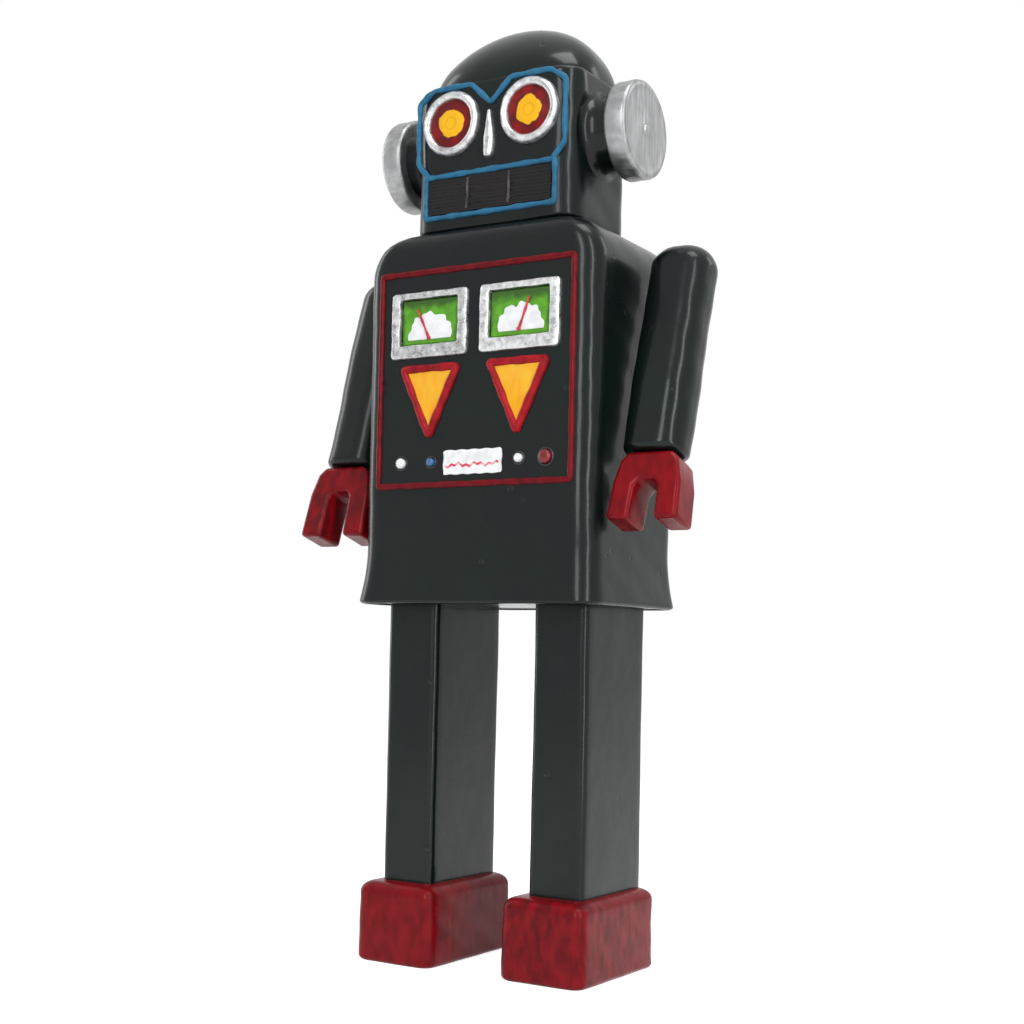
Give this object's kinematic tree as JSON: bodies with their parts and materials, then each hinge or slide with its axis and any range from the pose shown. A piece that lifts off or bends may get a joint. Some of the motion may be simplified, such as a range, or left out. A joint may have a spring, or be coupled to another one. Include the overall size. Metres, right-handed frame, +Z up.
{
  "type": "walking robot toy",
  "caption": "Standing toy robot with a box head and dome, round ear discs, chest gauges and buttons, claw hands, and block legs and feet swung by a motor inside.",
  "frame": {"origin": "centre of the bounding box on the plane that the soles stand on", "axes": "+Z up, the robot looks along -Y, +X is the robot's own left side"},
  "size_m": [0.137, 0.0612, 0.3],
  "materials": {
    "green_black_enamel": "glossy dark green-black enamel over moulded plastic, slightly uneven, with small pits",
    "red_enamel": "deep red enamel, brushed, darker in the corners",
    "blue_trim": "hand-painted blue line",
    "silver_metal": "silver leaf look with brushed grain",
    "eye_lens": "dark red with a yellow centre",
    "grille_dark": "black-brown, ribbed",
    "gauge_face": "green dial with a white half-round scale",
    "needle_red": "red",
    "yellow_lens": "warm yellow",
    "chart_white": "white with a red trace",
    "button_white": "white",
    "inner_plastic": "natural moulded plastic",
    "board": "bare resin board",
    "steel": "plain steel",
    "cell_jacket": "plain cell jacket",
    "roller_rubber": "matt black rubber"
  },
  "bodies": {
    "torso": {"torso_front_shell": "green_black_enamel", "torso_back_shell": "green_black_enamel", "base_plate": "green_black_enamel", "hip_shaft": "steel", "chest_panel": "green_black_enamel", "panel_border": "red_enamel", "gauge_bezel_left": "silver_metal", "gauge_bezel_right": "silver_metal", "gauge_dial_left": "gauge_face", "gauge_dial_right": "gauge_face", "triangle_rim_left": "red_enamel", "triangle_rim_right": "red_enamel", "triangle_lens_left": "yellow_lens", "triangle_lens_right": "yellow_lens", "chart_strip": "chart_white", "circuit_board": "board", "battery_tray": "inner_plastic", "battery_cells": "cell_jacket", "battery_contacts": "steel", "door_hinge_pin": "steel", "power_switch_body": "inner_plastic", "gearbox_frame": "inner_plastic", "motor": "steel", "case_screws": "steel", "neck_post": "inner_plastic"},
    "head": {"head_shell": "green_black_enamel", "head_dome": "green_black_enamel", "face_trim": "blue_trim", "eye_ring_left": "silver_metal", "eye_ring_right": "silver_metal", "eye_lens_left": "eye_lens", "eye_lens_right": "eye_lens", "nose": "silver_metal", "mouth_grille": "grille_dark", "ear_disc_left": "silver_metal", "ear_disc_right": "silver_metal"},
    "arm_left": {"arm_left": "green_black_enamel", "shoulder_lever_left": "inner_plastic"},
    "arm_right": {"arm_right": "green_black_enamel", "shoulder_lever_right": "inner_plastic"},
    "hand_left": {"hand_left": "red_enamel"},
    "hand_right": {"hand_right": "red_enamel"},
    "leg_left": {"leg_left": "green_black_enamel", "foot_left": "red_enamel"},
    "leg_right": {"leg_right": "green_black_enamel", "foot_right": "red_enamel"},
    "roller_left": {"foot_roller_left": "roller_rubber"},
    "roller_right": {"foot_roller_right": "roller_rubber"},
    "crank": {"crank_shaft": "inner_plastic"},
    "layshaft": {"layshaft": "inner_plastic"},
    "motor_rotor": {"motor_pinion": "steel"},
    "needle_left": {"gauge_needle_left": "needle_red"},
    "needle_right": {"gauge_needle_right": "needle_red"},
    "battery_door": {"battery_door": "green_black_enamel"},
    "power_knob": {"power_switch_knob": "grille_dark"},
    "button_white_right": {"button_white_right": "button_white"},
    "button_blue": {"button_blue": "blue_trim"},
    "button_white_left": {"button_white_left": "button_white"},
    "button_red": {"button_red": "red_enamel"}
  },
  "joints": [
    {"name": "left_hip", "type": "hinge", "parent": "torso", "child": "leg_left", "pos_m": [0.02705, 0.003, 0.12], "axis": [1, 0, 0], "range_deg": [-5.5, 5.5]},
    {"name": "right_hip", "type": "hinge", "parent": "torso", "child": "leg_right", "pos_m": [-0.02705, 0.003, 0.12], "axis": [1, 0, 0], "range_deg": [-5.5, 5.5]},
    {"name": "left_shoulder", "type": "hinge", "parent": "torso", "child": "arm_left", "pos_m": [0.042, 0.003, 0.213], "axis": [1, 0, 0], "range_deg": [-18.2, 18.2]},
    {"name": "left_wrist", "type": "hinge", "parent": "arm_left", "child": "hand_left", "pos_m": [0.056, -0.01347, 0.15739], "axis": [0, 0.284, 0.9588], "range_deg": [-90, 90]},
    {"name": "left_roller_turn", "type": "hinge", "parent": "leg_left", "child": "roller_left", "pos_m": [0.0266, -0.012, 0.0045], "axis": [1, 0, 0], "continuous": true},
    {"name": "right_shoulder", "type": "hinge", "parent": "torso", "child": "arm_right", "pos_m": [-0.042, 0.003, 0.213], "axis": [1, 0, 0], "range_deg": [-18.2, 18.2]},
    {"name": "right_wrist", "type": "hinge", "parent": "arm_right", "child": "hand_right", "pos_m": [-0.056, -0.01347, 0.15739], "axis": [0, 0.284, 0.9588], "range_deg": [-90, 90]},
    {"name": "right_roller_turn", "type": "hinge", "parent": "leg_right", "child": "roller_right", "pos_m": [-0.0266, -0.012, 0.0045], "axis": [1, 0, 0], "continuous": true},
    {"name": "crank_turn", "type": "hinge", "parent": "torso", "child": "crank", "pos_m": [0, 0.003, 0.15], "axis": [1, 0, 0], "range_deg": [-47, 47]},
    {"name": "layshaft_turn", "type": "hinge", "parent": "torso", "child": "layshaft", "pos_m": [0, -0.01169, 0.13893], "axis": [1, 0, 0], "range_deg": [-169, 169]},
    {"name": "motor_turn", "type": "hinge", "parent": "torso", "child": "motor_rotor", "pos_m": [0, -0.01169, 0.12693], "axis": [1, 0, 0], "range_deg": [-507, 507]},
    {"name": "head_turn", "type": "hinge", "parent": "torso", "child": "head", "pos_m": [0, -0.003, 0.231], "axis": [0, 0, 1], "range_deg": [-35, 35]},
    {"name": "needle_left_swing", "type": "hinge", "parent": "torso", "child": "needle_left", "pos_m": [0.0164, -0.0285, 0.1962], "axis": [0, 1, 0], "range_deg": [-65, 25]},
    {"name": "needle_right_swing", "type": "hinge", "parent": "torso", "child": "needle_right", "pos_m": [-0.0164, -0.0285, 0.1962], "axis": [0, 1, 0], "range_deg": [-20, 70]},
    {"name": "battery_door_hinge", "type": "hinge", "parent": "torso", "child": "battery_door", "pos_m": [0, 0.0279, 0.176], "axis": [-1, 0, 0], "range_deg": [0, 100]},
    {"name": "power_slide", "type": "slide", "parent": "torso", "child": "power_knob", "axis": [1, 0, 0], "range_m": [0, 0.005]},
    {"name": "button_white_right_press", "type": "slide", "parent": "torso", "child": "button_white_right", "axis": [0, 1, 0], "range_m": [0, 0.001], "stiffness_N_per_m": 150},
    {"name": "button_blue_press", "type": "slide", "parent": "torso", "child": "button_blue", "axis": [0, 1, 0], "range_m": [0, 0.001], "stiffness_N_per_m": 150},
    {"name": "button_white_left_press", "type": "slide", "parent": "torso", "child": "button_white_left", "axis": [0, 1, 0], "range_m": [0, 0.001], "stiffness_N_per_m": 150},
    {"name": "button_red_press", "type": "slide", "parent": "torso", "child": "button_red", "axis": [0, 1, 0], "range_m": [0, 0.001], "stiffness_N_per_m": 150}
  ],
  "couplings": [
    {"joint": "right_hip", "follows": "left_hip", "ratio": -1},
    {"joint": "left_shoulder", "follows": "left_hip", "ratio": -3.3},
    {"joint": "right_shoulder", "follows": "left_hip", "ratio": 3.3},
    {"joint": "crank_turn", "follows": "left_hip", "ratio": 8.53},
    {"joint": "layshaft_turn", "follows": "left_hip", "ratio": -30.708},
    {"joint": "motor_turn", "follows": "left_hip", "ratio": 92.124}
  ]
}
